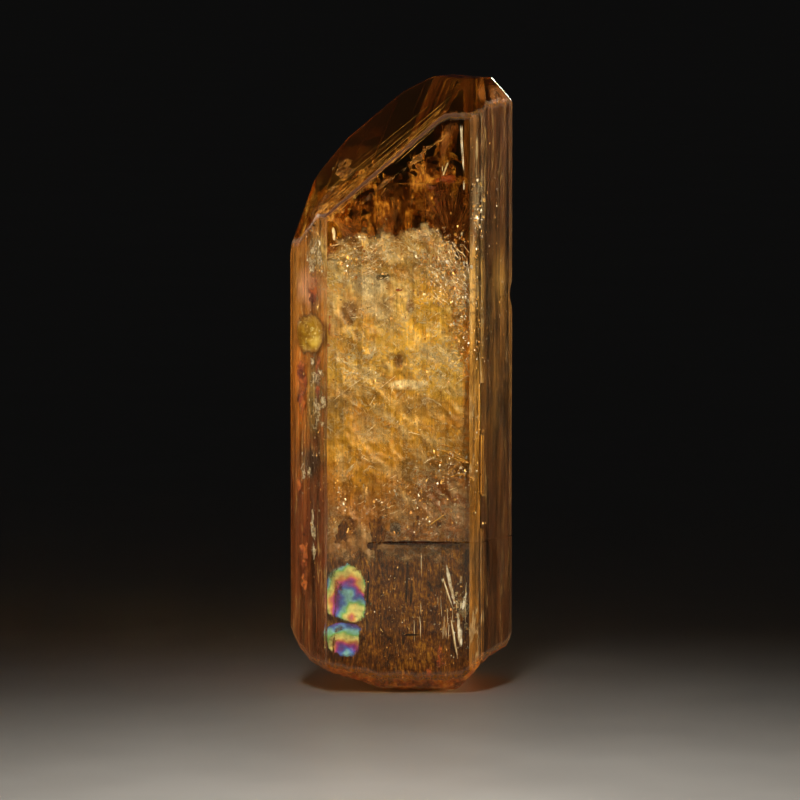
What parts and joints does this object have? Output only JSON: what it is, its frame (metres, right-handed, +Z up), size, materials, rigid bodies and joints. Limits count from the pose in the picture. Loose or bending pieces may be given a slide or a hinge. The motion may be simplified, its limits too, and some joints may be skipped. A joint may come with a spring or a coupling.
{
  "type": "imperial topaz crystal",
  "caption": "Upright golden-orange topaz crystal: a striated prism with a sloping, worn termination and a rough broken lower end, clear at the top and cloudy with inclusions below.",
  "frame": {"origin": "centre of the crystal's bounding box in plan, at the height of the flat patch of the broken lower end that it stands on", "axes": "+Z up along the prism to the sloping end, -Y towards the viewer out of the broad front prism face, +X to the viewer's right, the taller side"},
  "size_m": [0.0194, 0.0136, 0.0538],
  "materials": {
    "topaz": "vitreous crystal faces with fine lengthwise striations, frosted worn edges and a rough broken lower end"
  },
  "bodies": {
    "root": {"topaz_crystal": "topaz"}
  },
  "joints": []
}
